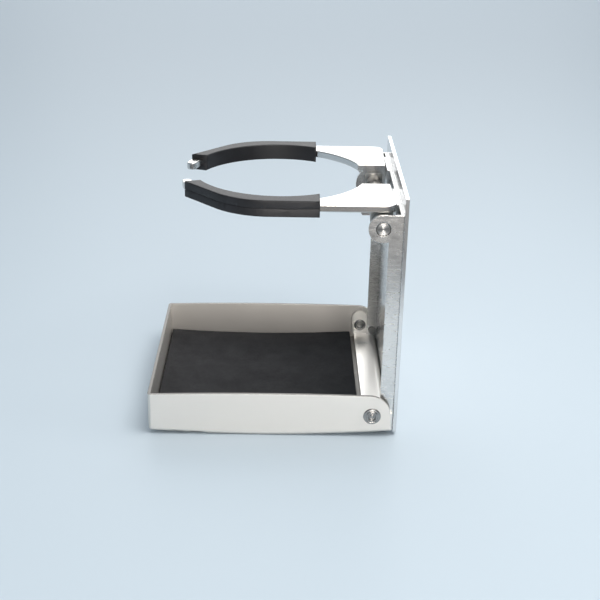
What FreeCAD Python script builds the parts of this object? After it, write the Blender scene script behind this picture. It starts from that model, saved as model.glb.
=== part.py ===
import FreeCAD, Part
import math
import os
import re

import Sketcher
from FreeCAD import Placement, Rotation, Vector

# A folding, screw-mounted drink holder in stainless steel.  A back plate carries a
# channel with two ears at its top.  A pin through the ears carries two curved arms,
# which slide apart along the pin against springs and fold down with it.  A shallow
# tray hinges at the foot of the channel.
#
# Frame: millimetres, +Z up, X across, the wall behind the back plate at Y = 0 and the
# tray towards -Y.  Heights in the sheet are from the foot of the back plate, and every
# body is lowered by half the plate's height, so the origin is the middle of the
# screw holes on the wall face.

SIZES = (
    ("plate_width", 92.0, "back plate, side to side"),
    ("plate_height", 105.0, "back plate, foot to top"),
    ("plate_sheet", 1.5, "back plate thickness"),
    ("screw_hole_radius", 2.6, "mounting holes, for a 5 mm screw"),
    ("screw_spacing_across", 50.0, "mounting holes, across"),
    ("screw_spacing_up", 44.0, "mounting holes, up and down"),
    ("channel_half_width", 44.6, "channel, middle to outer face"),
    ("channel_sheet", 1.2, "channel and bracket sheet"),
    ("channel_front", 7.35, "wall face to the flanges' front edges"),
    ("channel_top", 97.5, "height of the flanges' flat tops"),
    ("arm_pin_depth", 9.6, "wall face to the arms' hinge pin"),
    ("arm_pin_height", 91.7, "height of the arms' hinge pin"),
    ("arm_pin_radius", 3.0, "arms' hinge pin"),
    ("running_gap", 0.05, "radial clearance of a pin in its hole"),
    ("ear_radius", 6.0, "rounded ear about the pin"),
    ("ear_washer_sheet", 0.6, "nylon washers inside the ears"),
    ("ear_washer_radius", 5.4, "nylon washers inside the ears"),
    ("stop_inner", 12.9, "stop strips, inner end from the middle"),
    ("stop_outer", 33.6, "stop strips, outer end from the middle"),
    ("stop_sheet", 1.2, "stop strips, thickness"),
    ("stop_foot", 84.0, "stop strips, lower edge"),
    ("stop_top", 98.4, "stop strips, upper edge"),
    ("arm_under", 97.8, "height of the arms' underside"),
    ("arm_sheet", 3.0, "arm plate thickness"),
    ("arm_round", 0.4, "arm plate, rounding of its edges"),
    ("arm_inner", 13.6, "arm's inner edge from the middle"),
    ("arm_outer", 42.3, "arm's outer edge from the middle"),
    ("arm_rear_inner", 4.9, "wall face to the arm's rear edge, inner end"),
    ("arm_rear_outer", 4.2, "wall face to the arm's rear edge, outer end"),
    ("arm_corner", 4.0, "arm's outer rear corner radius"),
    ("arm_ring_radius", 37.9, "steel ring, inside radius"),
    ("arm_ring_depth", 52.4, "wall face to the steel ring's centre"),
    ("bend_depth", 55.5, "wall face to the centre of the arm's front bend"),
    ("bend_centre", 13.2, "middle to the centre of the arm's front bend"),
    ("bend_turn", 47.0, "how far the front bend turns, degrees"),
    ("nose_straight", 17.0, "straight run after the front bend"),
    ("nose_radius", 14.65, "curve from the straight run to the tip"),
    ("tip_across", 12.6, "tip, middle to the outer corner of its end"),
    ("tip_depth", 92.2, "tip, wall face to the outer corner of its end"),
    ("tip_inner", 13.0, "tip, middle to the inner corner of its end"),
    ("tip_radius", 2.15, "tip, end radius"),
    ("cheek_sheet", 1.5, "cheek bent down from the arm's inner edge"),
    ("cheek_front", 8.0, "cheek, front radius about the pin"),
    ("cheek_drop", 4.5, "cheek, depth below the pin"),
    ("cheek_rear", 4.7, "cheek, reach behind the pin"),
    ("window_front", 4.0, "window, reach in front of the pin"),
    ("window_rear", 3.5, "window, reach behind the pin"),
    ("window_foot", 3.45, "window, depth below the pin"),
    ("window_top", 5.2, "window, height above the pin"),
    ("window_corner", 0.8, "window, corner radius"),
    ("saddle_sheet", 1.4, "saddle under the arm, thickness"),
    ("saddle_inner", 17.0, "saddle, inner face from the middle"),
    ("saddle_outer", 33.0, "saddle, outer face from the middle"),
    ("saddle_radius", 4.7, "saddle's lugs about the pin"),
    ("spacer_radius", 3.35, "tube on the pin between the saddles"),
    ("spring_radius", 3.8, "arm spring, coil radius at the wire's centre"),
    ("spring_wire", 0.4, "arm spring, wire radius"),
    ("spring_turns", 4.0, "arm spring, number of turns"),
    ("pin_chamfer", 0.4, "arms' hinge pin, chamfer at its ends"),
    ("washer_gap", 0.01, "radial clearance of the ear washers on the pin"),
    ("end_gap", 0.1, "gap at each end of a loose ring on a pin"),
    ("sleeve_foot", 95.6, "rubber sleeve, underside height"),
    ("sleeve_top", 102.5, "rubber sleeve, top height"),
    ("sleeve_wall", 0.9, "rubber outside the steel"),
    ("sleeve_start", 35.1, "wall face to the sleeve's root end"),
    ("sleeve_ring_radius", 36.8, "sleeve ring, inside radius"),
    ("sleeve_ring_depth", 51.6, "wall face to the sleeve ring's centre"),
    ("sleeve_straight", 19.3, "sleeve's straight run after the bend"),
    ("sleeve_end", 17.6, "sleeve's inner end from the middle"),
    ("sleeve_round", 0.5, "sleeve, rounding of its long edges"),
    ("tray_pin_depth", 10.7, "wall face to the tray's pins"),
    ("tray_pin_height", 8.4, "height of the tray's pins"),
    ("tray_pin_radius", 2.2, "tray's pins"),
    ("tray_head_radius", 3.8, "tray's pins, outer head"),
    ("tray_head_sheet", 0.8, "tray's pins, outer head thickness"),
    ("tray_head_hole", 1.5, "tray's pins, bore of the tubular end"),
    ("tray_half_width", 47.6, "tray, middle to its outer face"),
    ("tray_sheet", 1.2, "tray sheet"),
    ("tray_front", 105.8, "wall face to the tray's front"),
    ("tray_rim_front", 17.4, "height of the rim at the front"),
    ("tray_rim_rear", 17.85, "height of the rim at the rear"),
    ("tray_rim_crown", 1700.0, "radius of the rim's slight crown"),
    ("tray_rear_radius", 9.0, "side wall's rounded rear corner"),
    ("tray_rear_depth", 2.9, "wall face to the side wall's rear edge"),
    ("tray_foot_depth", 2.4, "wall face to the side wall's lower rear corner"),
    ("tray_foot_height", 1.0, "height of that corner"),
    ("tray_belly_radius", 667.0, "radius of the dished floor"),
    ("tray_bend", 1.6, "bend at the foot of the front wall"),
    ("tray_floor_end", 8.0, "wall face to the floor's rear edge"),
    ("tray_floor_rise", 0.52, "height of the floor's underside there"),
    ("tray_corner", 1.4, "tray's upright front corners"),
    ("pad_sheet", 3.0, "foam pad thickness"),
    ("pad_gap", 0.2, "pad, gap to the tray's walls"),
    ("pad_lift", 0.05, "pad, gap to the floor at the front"),
    ("pad_rear_drop", 0.45, "pad's underside at its rear, below the floor's rear edge"),
    ("pad_rear", 15.6, "wall face to the pad's rear edge"),
    ("bracket_half_width", 45.9, "hinge bracket, middle to its outer face"),
    ("bracket_front", 13.6, "wall face to the shelf's front edge"),
    ("bracket_height", 2.6, "height of the shelf's underside"),
    ("bracket_tab_radius", 4.1, "bracket's ears, rounded top"),
    ("bracket_tab_height", 11.8, "height of that rounding's centre"),
    ("bracket_wing_top", 9.0, "bracket's wings beside the channel, top"),
    ("bracket_wing_rear", 2.0, "wall face to the wings' rear edge"),
    ("bracket_roll", 3.2, "rolled rear edge, outer radius"),
    ("dimple_radius", 2.3, "weld dimples in the shelf"),
    ("dimple_sink", 0.3, "weld dimples, depth"),
    ("dimple_across", 32.4, "weld dimples, from the middle"),
    ("dimple_depth", 9.9, "weld dimples, from the wall face"),
    ("rivet_radius", 1.3, "rivets that hold the wings"),
    ("rivet_head", 1.8, "their heads, inside the channel"),
    ("rivet_depth", 4.8, "rivets, from the wall face"),
    ("rivet_height", 6.2, "rivets, height"),
    ("cutter_reach", 10.0, "how far a cutting shape passes the solid it cuts"),
    ("washer_sheet", 0.4, "tray washers, thickness"),
    ("washer_radius", 3.6, "tray washers, outer radius"),
)

SIDES = (("right", 1), ("left", -1))

doc = FreeCAD.newDocument("folding_drink_holder")
sheet = doc.addObject("Spreadsheet::Sheet", "Sizes")
for row, (alias, number, meaning) in enumerate(SIZES, start=1):
    sheet.set(f"A{row}", meaning)
    sheet.set(f"B{row}", str(number))
    sheet.setAlias(f"B{row}", alias)
doc.recompute()

FOOT = "-plate_height / 2"
TOLERANCE = 0.01  # millimetres, or cubic millimetres: less than this counts as nothing
NOSE_END_LONGEST = 9.0  # the sleeve's cut nose end is shorter than this
subparts = []


def cells(text):
    """An expression in the sheet's words, written for any object of the document."""
    return re.sub(r"[a-z]+_[a-z_]+", r"Sizes.\g<0>", text)


def number_of(text):
    """The value of an expression in the sheet's words."""
    value = sheet.evalExpression(text)
    return float(getattr(value, "Value", value))


def bind(thing, prop, text):
    """Ties a property to the sheet."""
    thing.setExpression(prop, cells(text))


def new_body(label):
    """A body for one sub-part, with its foot at the foot of the back plate."""
    body = doc.addObject("PartDesign::Body", label)
    body.Label = label
    bind(body, "Placement.Base.z", FOOT)
    subparts.append(body)
    return body


def new_sketch(body, plane, offset="0"):
    """A sketch on one of the body's own origin planes, moved along its normal."""
    sketch = body.newObject("Sketcher::SketchObject", body.Label + "_sketch")
    support = [f for f in body.Origin.OriginFeatures if f.Role == plane][0]
    sketch.AttachmentSupport = [(support, "")]
    sketch.MapMode = "FlatFace"
    bind(sketch, "AttachmentOffset.Base.z", offset)
    return sketch


def fix_point(sketch, geometry, end, across, up):
    """Dimensions one point of a sketch from its origin."""
    for kind, text in (("DistanceX", across), ("DistanceY", up)):
        rule = Sketcher.Constraint(kind, -1, 1, geometry, end, number_of(text))
        index = sketch.addConstraint(rule)
        bind(sketch, f"Constraints[{index}]", text)


def arc_between(start, finish, radius, turn):
    """An arc of under half a turn; turn is 1 anticlockwise and -1 clockwise."""
    chord = finish - start
    middle = (start + finish) * 0.5
    rise = math.sqrt(max(radius ** 2 - (chord.Length / 2) ** 2, 0.0))
    left = Vector(-chord.y, chord.x, 0).normalize()
    centre = middle + left * (rise * turn)
    first, last = (start, finish) if turn > 0 else (finish, start)
    angles = [math.atan2(p.y - centre.y, p.x - centre.x) for p in (first, last)]
    circle = Part.Circle(centre, Vector(0, 0, 1), radius)
    return Part.ArcOfCircle(circle, angles[0], angles[1])


def draw_outline(sketch, corners):
    """Draws a closed outline.

    A corner is (across, up) at the end of a straight run, or (across, up, radius,
    turn) at the end of an arc, in the sheet's words.
    """
    points = [Vector(number_of(c[0]), number_of(c[1]), 0) for c in corners]
    runs = []
    for index, corner in enumerate(corners):
        start, finish = points[index - 1], points[index]
        if len(corner) == 2:
            run = sketch.addGeometry(Part.LineSegment(start, finish))
            runs.append((run, 1, 2))
            continue
        radius, turn = corner[2:]
        arc = arc_between(start, finish, number_of(radius), turn)
        run = sketch.addGeometry(arc)
        runs.append((run, 1, 2) if turn > 0 else (run, 2, 1))
        rule = sketch.addConstraint(Sketcher.Constraint("Radius", run, number_of(radius)))
        bind(sketch, f"Constraints[{rule}]", radius)
    for index, (run, _, far_end) in enumerate(runs):
        following = runs[(index + 1) % len(runs)]
        sketch.addConstraint(
            Sketcher.Constraint("Coincident", run, far_end, following[0], following[1]))
        fix_point(sketch, run, far_end, corners[index][0], corners[index][1])


def draw_circle(sketch, across, up, radius):
    """Draws a circle."""
    centre = Vector(number_of(across), number_of(up), 0)
    circle = Part.Circle(centre, Vector(0, 0, 1), number_of(radius))
    run = sketch.addGeometry(circle)
    fix_point(sketch, run, 3, across, up)
    rule = sketch.addConstraint(Sketcher.Constraint("Radius", run, number_of(radius)))
    bind(sketch, f"Constraints[{rule}]", radius)


def box_corners(low_across, high_across, low_up, high_up):
    """The outline of a rectangle."""
    return [(high_across, low_up), (high_across, high_up),
            (low_across, high_up), (low_across, low_up)]


def rounded_corners(low_across, high_across, low_up, high_up, radius):
    """The outline of a rectangle with rounded corners."""
    return [(f"{high_across} - {radius}", low_up),
            (high_across, f"{low_up} + {radius}", radius, 1),
            (high_across, f"{high_up} - {radius}"),
            (f"{high_across} - {radius}", high_up, radius, 1),
            (f"{low_across} + {radius}", high_up),
            (low_across, f"{high_up} - {radius}", radius, 1),
            (low_across, f"{low_up} + {radius}"),
            (f"{low_across} + {radius}", low_up, radius, 1)]


def mirrored(corners, side):
    """The same outline on the given side of the middle."""
    if side > 0:
        return corners
    flipped = []
    for corner in corners:
        across = f"-({corner[0]})"
        if len(corner) == 2:
            flipped.append((across, corner[1]))
        else:
            flipped.append((across, corner[1], corner[2], -corner[3]))
    return flipped


def raise_pad(body, sketch, length, centred=False):
    """Pads a sketch along its normal, or half each way."""
    pad = body.newObject("PartDesign::Pad", body.Label + "_pad")
    pad.Profile = sketch
    pad.SideType = "Symmetric" if centred else "One side"
    bind(pad, "Length", length)
    doc.recompute()
    return pad


def cut_pocket(body, sketch, length):
    """Cuts a sketch out of the body, half the length each way."""
    before = body.Shape.Volume
    pocket = body.newObject("PartDesign::Pocket", body.Label + "_pocket")
    pocket.Profile = sketch
    pocket.SideType = "Symmetric"
    bind(pocket, "Length", length)
    doc.recompute()
    if body.Shape.Volume > before - TOLERANCE:
        raise RuntimeError(f"{body.Label}: a pocket removed nothing")
    return pocket


def round_edges(body, radius, wanted):
    """Fillets the edges of the body's last feature that the test picks."""
    base = body.Tip
    names = [f"Edge{n}" for n, edge in enumerate(base.Shape.Edges, start=1) if wanted(edge)]
    fillet = body.newObject("PartDesign::Fillet", body.Label + "_fillet")
    fillet.Base = (base, names)
    bind(fillet, "Radius", radius)
    doc.recompute()
    return fillet


def is_upright(edge):
    """True for a straight edge along Z."""
    ends = [v.Point for v in edge.Vertexes]
    if len(ends) != 2:
        return False
    run = ends[1] - ends[0]
    return math.hypot(run.x, run.y) < TOLERANCE


def is_level(edge):
    """True for an edge that keeps one height."""
    return edge.BoundBox.ZLength < TOLERANCE


def across_cylinder(label, radius, length, across, depth, height):
    """A cylinder along X, from across onwards."""
    rod = doc.addObject("Part::Cylinder", label)
    rod.Placement = Placement(Vector(), Rotation(Vector(0, 1, 0), 90))
    bind(rod, "Radius", radius)
    bind(rod, "Height", length)
    bind(rod, "Placement.Base.x", across)
    bind(rod, "Placement.Base.y", f"-({depth})")
    bind(rod, "Placement.Base.z", f"{height} - plate_height / 2")
    return rod


def joined(label, kind, base, tool):
    """A boolean of two shapes, under a label of its own."""
    result = doc.addObject(kind, label)
    result.Base = base
    result.Tool = tool
    return result


def keep(thing, label):
    """Lists a finished shape as a sub-part."""
    thing.Label = label
    subparts.append(thing)


def ring(label, outer, inner, length, across, depth, height):
    """A washer or tube along X."""
    disc = across_cylinder(label + "_disc", outer, length, across, depth, height)
    bore = across_cylinder(label + "_bore", inner, length, across, depth, height)
    keep(joined(label, "Part::Cut", disc, bore), label)


def across_from(side, low, high):
    """The lower end of a span from low to high on the given side of the middle."""
    return low if side > 0 else f"-({high})"


# ---------------------------------------------------------------- fixed structure

SCREWS = [(f"{x} * screw_spacing_across / 2", f"plate_height / 2 + {z} * screw_spacing_up / 2")
          for x in (-1, 1) for z in (-1, 1)]


def make_back_plate():
    """The flat plate that is screwed to a wall."""
    body = new_body("back_plate")
    sketch = new_sketch(body, "XZ_Plane")
    draw_outline(sketch, box_corners("-plate_width / 2", "plate_width / 2", "0", "plate_height"))
    for across, up in SCREWS:
        draw_circle(sketch, across, up, "screw_hole_radius")
    raise_pad(body, sketch, "plate_sheet")


def make_channel():
    """The channel: a web on the back plate and two flanges that end in ears."""
    body = new_body("channel_bracket")
    web = new_sketch(body, "XZ_Plane", "plate_sheet")
    draw_outline(web, box_corners("-channel_half_width", "channel_half_width", "0", "channel_top"))
    for across, up in SCREWS:
        draw_circle(web, across, up, "screw_hole_radius")
    raise_pad(body, web, "channel_sheet")
    flat = "sqrt(ear_radius^2 - (channel_top - arm_pin_height)^2)"
    throat = "sqrt(ear_radius^2 - (arm_pin_depth - channel_front)^2)"
    outline = [
        ("-plate_sheet", "0"),
        ("-plate_sheet", "channel_top"),
        (f"-arm_pin_depth - {flat}", "channel_top"),
        ("-arm_pin_depth - ear_radius", "arm_pin_height", "ear_radius", 1),
        ("-channel_front", f"arm_pin_height - {throat}", "ear_radius", 1),
        ("-channel_front", "0"),
    ]
    for _, side in SIDES:
        flange = new_sketch(body, "YZ_Plane", f"{side} * (channel_half_width - channel_sheet / 2)")
        draw_outline(flange, outline)
        draw_circle(flange, "-arm_pin_depth", "arm_pin_height", "arm_pin_radius + running_gap")
        raise_pad(body, flange, "channel_sheet", centred=True)


def make_stop_strip(name, side):
    """An upright strip on the web that the arm's rear edge meets when it is level."""
    strip = doc.addObject("Part::Box", f"{name}_stop_strip")
    bind(strip, "Length", "stop_outer - stop_inner")
    bind(strip, "Width", "stop_sheet")
    bind(strip, "Height", "stop_top - stop_foot")
    bind(strip, "Placement.Base.x", across_from(side, "stop_inner", "stop_outer"))
    bind(strip, "Placement.Base.y", "-plate_sheet - channel_sheet - stop_sheet")
    bind(strip, "Placement.Base.z", "stop_foot - plate_height / 2")
    keep(strip, f"{name}_stop_strip")


# ---------------------------------------------------------------- foot of the channel


def make_hinge_bracket():
    """The shelf across the channel's foot, with an ear at each end for the tray.

    Nothing in front of the tray's pins is further from them than the shelf's front
    edge, so the tray's floor swings past.
    """
    body = new_body("hinge_bracket")
    shelf = new_sketch(body, "XY_Plane", "bracket_height")
    draw_outline(shelf, box_corners(
        "-bracket_half_width", "bracket_half_width", "-bracket_front", "-channel_front - end_gap"))
    raise_pad(body, shelf, "channel_sheet")
    roll_top = "bracket_height + channel_sheet"
    roll_back = "plate_sheet + channel_sheet"
    roll_centre = f"{roll_back} + bracket_roll"
    inner_roll = "bracket_roll - channel_sheet"
    rear = new_sketch(body, "YZ_Plane")
    draw_outline(rear, [
        ("-bracket_front + channel_sheet", "bracket_height"),
        ("-bracket_front + channel_sheet", roll_top),
        (f"-({roll_centre})", roll_top),
        (f"-({roll_back})", f"{roll_top} - bracket_roll", "bracket_roll", -1),
        (f"-({roll_back}) - channel_sheet", f"{roll_top} - bracket_roll"),
        (f"-({roll_centre})", "bracket_height", inner_roll, 1),
    ])
    raise_pad(body, rear, "2 * (channel_half_width - channel_sheet - end_gap)", centred=True)
    tab = "bracket_tab_radius"
    sweep = "sqrt((bracket_front - tray_pin_depth)^2 + (tray_pin_height - bracket_height)^2)"
    ear = [
        ("-bracket_front", "bracket_height"),
        ("-tray_pin_depth - bracket_tab_radius",
         f"tray_pin_height - sqrt({sweep}^2 - bracket_tab_radius^2)", sweep, -1),
        ("-tray_pin_depth - bracket_tab_radius", "bracket_tab_height"),
        ("-tray_pin_depth", "bracket_tab_height + bracket_tab_radius", tab, -1),
        ("-tray_pin_depth + bracket_tab_radius", "bracket_tab_height", tab, -1),
        ("-tray_pin_depth + bracket_tab_radius", "bracket_wing_top"),
        ("-bracket_wing_rear", "bracket_wing_top"),
        ("-bracket_wing_rear", "bracket_height"),
    ]
    for _, side in SIDES:
        upright = new_sketch(
            body, "YZ_Plane", f"{side} * (bracket_half_width - channel_sheet / 2)")
        draw_outline(upright, ear)
        draw_circle(upright, "-tray_pin_depth", "tray_pin_height", "tray_pin_radius")
        draw_circle(upright, "-rivet_depth", "rivet_height", "rivet_radius")
        raise_pad(body, upright, "channel_sheet", centred=True)
    dimples = new_sketch(body, "XY_Plane", "bracket_height + channel_sheet")
    for _, side in SIDES:
        draw_circle(dimples, f"{side} * dimple_across", "-dimple_depth", "dimple_radius")
    cut_pocket(body, dimples, "2 * dimple_sink")


def make_bracket_rivets():
    """The two rivets that hold the bracket's wings to the channel's flanges."""
    solids = []
    for name, side in SIDES:
        inside = "channel_half_width - channel_sheet"
        shank = across_cylinder(
            f"{name}_wing_shank", "rivet_radius", f"bracket_half_width - ({inside})",
            across_from(side, inside, "bracket_half_width"), "rivet_depth", "rivet_height")
        head = across_cylinder(
            f"{name}_wing_head", "rivet_head", "tray_head_sheet",
            across_from(side, f"{inside} - tray_head_sheet", inside),
            "rivet_depth", "rivet_height")
        solids.append(joined(f"{name}_wing_rivet", "Part::Fuse", shank, head))
    group = doc.addObject("Part::Compound", "bracket_rivets")
    group.Links = solids
    keep(group, "bracket_rivets")


def drill_flanges(body):
    """Holes in the channel's flanges for the bracket's rivets."""
    holes = new_sketch(body, "YZ_Plane")
    draw_circle(holes, "-rivet_depth", "rivet_height", "rivet_radius")
    cut_pocket(body, holes, "2 * (channel_half_width + cutter_reach)")


def make_tray_rivet(name, side):
    """A tubular rivet: fixed in the bracket's ear, a running fit in the tray's wall."""
    inside = "bracket_half_width - channel_sheet - tray_head_sheet"
    outside = "tray_half_width + running_gap"
    place = ("tray_pin_depth", "tray_pin_height")
    shank = across_cylinder(
        f"{name}_tray_shank", "tray_pin_radius", f"{outside} - ({inside})",
        across_from(side, inside, outside), *place)
    head = across_cylinder(
        f"{name}_tray_head", "tray_head_radius", "tray_head_sheet",
        across_from(side, outside, f"{outside} + tray_head_sheet"), *place)
    solid = joined(f"{name}_tray_solid", "Part::Fuse", shank, head)
    bore_length = f"{outside} + tray_head_sheet - ({inside}) + 2 * cutter_reach"
    bore = across_cylinder(
        f"{name}_tray_bore", "tray_head_hole", bore_length,
        across_from(side, f"{inside} - cutter_reach",
                    f"{outside} + tray_head_sheet + cutter_reach"), *place)
    keep(joined(f"{name}_tray_rivet", "Part::Cut", solid, bore), f"{name}_tray_rivet")


def make_tray_washer(name, side):
    """A thin nylon washer between the bracket's ear and the tray's wall."""
    gap = "(tray_half_width - tray_sheet - bracket_half_width - washer_sheet) / 2"
    start = f"bracket_half_width + {gap}"
    ring(f"{name}_tray_washer", "washer_radius", "tray_pin_radius + running_gap",
         "washer_sheet", across_from(side, start, f"{start} + washer_sheet"),
         "tray_pin_depth", "tray_pin_height")


# ---------------------------------------------------------------- tray


def make_tray_pan():
    """The tray: a dished floor, a front wall and two side walls that straddle the foot."""
    body = new_body("tray_pan")
    side_view = new_sketch(body, "YZ_Plane")
    draw_outline(side_view, [
        ("-tray_front", "tray_rim_front"),
        ("-tray_rear_depth - tray_rear_radius", "tray_rim_rear", "tray_rim_crown", -1),
        ("-tray_rear_depth", "tray_rim_rear - tray_rear_radius", "tray_rear_radius", -1),
        ("-tray_foot_depth", "tray_foot_height"),
        ("-tray_front + tray_bend", "0", "tray_belly_radius", -1),
        ("-tray_front", "tray_bend", "tray_bend", -1),
    ])
    raise_pad(body, side_view, "2 * tray_half_width", centred=True)
    front = -number_of("tray_front")
    round_edges(body, "tray_corner", lambda edge: is_upright(edge)
                and abs(edge.CenterOfMass.y - front) < TOLERANCE)
    inside = new_sketch(body, "YZ_Plane")
    draw_outline(inside, [
        ("-tray_front + tray_sheet", "tray_rim_rear + cutter_reach"),
        ("-tray_front + tray_sheet", "tray_bend"),
        ("-tray_front + tray_bend", "tray_sheet", "tray_bend - tray_sheet", 1),
        ("-tray_floor_end", "tray_floor_rise + tray_sheet", "tray_belly_radius - tray_sheet", 1),
        ("-tray_floor_end", "-cutter_reach"),
        ("cutter_reach", "-cutter_reach"),
        ("cutter_reach", "tray_rim_rear + cutter_reach"),
    ])
    cut_pocket(body, inside, "2 * (tray_half_width - tray_sheet)")
    holes = new_sketch(body, "YZ_Plane")
    draw_circle(holes, "-tray_pin_depth", "tray_pin_height", "tray_pin_radius + running_gap")
    cut_pocket(body, holes, "2 * (tray_half_width + cutter_reach)")


def make_tray_pad():
    """The foam sheet that lines the tray's floor."""
    body = new_body("tray_pad")
    front = "-tray_front + tray_bend + pad_gap"
    rear = "tray_floor_rise + tray_sheet - pad_rear_drop"
    side_view = new_sketch(body, "YZ_Plane")
    draw_outline(side_view, [
        (front, "tray_sheet + pad_lift"),
        ("-pad_rear", rear, "tray_belly_radius - tray_sheet", 1),
        ("-pad_rear", f"{rear} + pad_sheet"),
        (front, "tray_sheet + pad_lift + pad_sheet", "tray_belly_radius - tray_sheet", -1),
    ])
    raise_pad(body, side_view, "2 * (tray_half_width - tray_sheet - pad_gap)", centred=True)


# ---------------------------------------------------------------- hinge pin of the arms


def make_arm_pin():
    """The pin through both ears, flush with their outer faces."""
    rod = across_cylinder(
        "arm_pin_rod", "arm_pin_radius", "2 * channel_half_width", "-channel_half_width",
        "arm_pin_depth", "arm_pin_height")
    doc.recompute()
    pin = doc.addObject("Part::Chamfer", "arm_hinge_pin")
    pin.Base = rod
    rims = [n for n, e in enumerate(rod.Shape.Edges, start=1) if len(e.Vertexes) == 1]
    chamfer = number_of("pin_chamfer")
    pin.Edges = [(n, chamfer, chamfer) for n in rims]
    keep(pin, "arm_hinge_pin")


def make_centre_spacer():
    """The tube on the pin that the two saddles close against."""
    ring("centre_spacer", "spacer_radius", "arm_pin_radius + running_gap",
         "2 * (saddle_inner - running_gap)", "-(saddle_inner - running_gap)",
         "arm_pin_depth", "arm_pin_height")


def make_ear_washer(name, side):
    """A nylon washer on the pin, inside the ear."""
    start = "channel_half_width - channel_sheet - end_gap - ear_washer_sheet"
    ring(f"{name}_ear_washer", "ear_washer_radius", "arm_pin_radius + washer_gap",
         "ear_washer_sheet", across_from(side, start, f"{start} + ear_washer_sheet"),
         "arm_pin_depth", "arm_pin_height")


def make_arm_spring(name, side):
    """The compression spring that pushes an arm inwards, between saddle and washer."""
    wire = number_of("spring_wire")
    start = number_of("saddle_outer + end_gap + spring_wire")
    finish = number_of("channel_half_width - channel_sheet - 2 * end_gap "
                       "- ear_washer_sheet - spring_wire")
    turns = number_of("spring_turns")
    coil = number_of("spring_radius")
    # the long helix is built turn by turn, so no face is a whole spring long
    path = Part.makeLongHelix((finish - start) / turns, finish - start, coil)
    section = Part.Wire(Part.Circle(Vector(coil, 0, 0), Vector(0, 1, 0), wire).toShape())
    solid = Part.Wire(path).makePipeShell([section], True, True)
    spring = doc.addObject("Part::Feature", f"{name}_arm_spring")
    spring.Shape = solid
    middle = Vector(start * side, -number_of("arm_pin_depth"),
                    number_of("arm_pin_height - plate_height / 2"))
    spring.Placement = Placement(middle, Rotation(Vector(0, 1, 0), 90 * side))
    keep(spring, f"{name}_arm_spring")


# ---------------------------------------------------------------- arms


def bend_end(radius, along="0"):
    """Where the front bend ends, and then along the straight run after it."""
    across = f"bend_centre + ({radius}) * cos(bend_turn) - ({along}) * sin(bend_turn)"
    depth = f"-bend_depth - ({radius}) * sin(bend_turn) - ({along}) * cos(bend_turn)"
    return across, depth


def make_arm(name, side):
    """One arm: a flat root that narrows to a curved finger, and a cheek with a window."""
    body = new_body(f"{name}_arm")
    reach = "sqrt(arm_ring_radius^2 - arm_inner^2)"
    tip_reach = "sqrt(arm_ring_radius^2 - tip_inner^2)"
    bend = "arm_outer - bend_centre"
    outline = [
        ("arm_inner", "-arm_rear_inner"),
        ("arm_outer - arm_corner", "-arm_rear_outer"),
        ("arm_outer", "-arm_rear_outer - arm_corner", "arm_corner", -1),
        ("arm_outer", "-bend_depth"),
        (*bend_end(bend), bend, -1),
        bend_end(bend, "nose_straight"),
        ("tip_across", "-tip_depth", "nose_radius", -1),
        ("tip_inner", f"-arm_ring_depth - {tip_reach}", "tip_radius", -1),
        ("arm_inner", f"-arm_ring_depth + {reach}", "arm_ring_radius", 1),
    ]
    plan = new_sketch(body, "XY_Plane", "arm_under")
    draw_outline(plan, mirrored(outline, side))
    raise_pad(body, plan, "arm_sheet")
    round_edges(body, "arm_round", is_level)
    cheek = new_sketch(body, "YZ_Plane", f"{side} * (arm_inner + cheek_sheet / 2)")
    draw_outline(cheek, cheek_outline())
    draw_outline(cheek, rounded_corners(
        "-arm_pin_depth - window_front", "-arm_pin_depth + window_rear",
        "arm_pin_height - window_foot", "arm_pin_height + window_top", "window_corner"))
    raise_pad(body, cheek, "cheek_sheet", centred=True)
    return body


def cheek_outline():
    """The cheek in side view: round in front, and tucked in behind to clear the web."""
    front_foot = "sqrt(cheek_front^2 - cheek_drop^2)"
    front_top = "sqrt(cheek_front^2 - (arm_under - arm_pin_height)^2)"
    root = "arm_under + arm_sheet / 2"
    return [
        ("-arm_pin_depth + cheek_rear", root),
        ("-arm_pin_depth + cheek_rear", "arm_pin_height"),
        ("-arm_pin_depth + cheek_rear - cheek_drop", "arm_pin_height - cheek_drop",
         "cheek_drop", -1),
        (f"-arm_pin_depth - {front_foot}", "arm_pin_height - cheek_drop"),
        (f"-arm_pin_depth - {front_top}", "arm_under", "cheek_front", -1),
        (f"-arm_pin_depth - {front_top}", root),
    ]


def make_saddle(name, side):
    """The folded saddle welded under an arm, whose two lugs slide on the pin."""
    body = new_body(f"{name}_arm_saddle")
    top = new_sketch(body, "XY_Plane", "arm_under - saddle_sheet")
    draw_outline(top, mirrored(box_corners(
        "saddle_inner", "saddle_outer", "-arm_pin_depth - saddle_radius",
        "-arm_pin_depth + saddle_radius"), side))
    raise_pad(body, top, "saddle_sheet")
    lug = [
        ("-arm_pin_depth + saddle_radius", "arm_under - saddle_sheet / 2"),
        ("-arm_pin_depth + saddle_radius", "arm_pin_height"),
        ("-arm_pin_depth", "arm_pin_height - saddle_radius", "saddle_radius", -1),
        ("-arm_pin_depth - saddle_radius", "arm_pin_height", "saddle_radius", -1),
        ("-arm_pin_depth - saddle_radius", "arm_under - saddle_sheet / 2"),
    ]
    for middle in ("saddle_inner + saddle_sheet / 2", "saddle_outer - saddle_sheet / 2"):
        sketch = new_sketch(body, "YZ_Plane", f"{side} * ({middle})")
        draw_outline(sketch, lug)
        draw_circle(sketch, "-arm_pin_depth", "arm_pin_height", "arm_pin_radius + running_gap")
        raise_pad(body, sketch, "saddle_sheet", centred=True)


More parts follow.
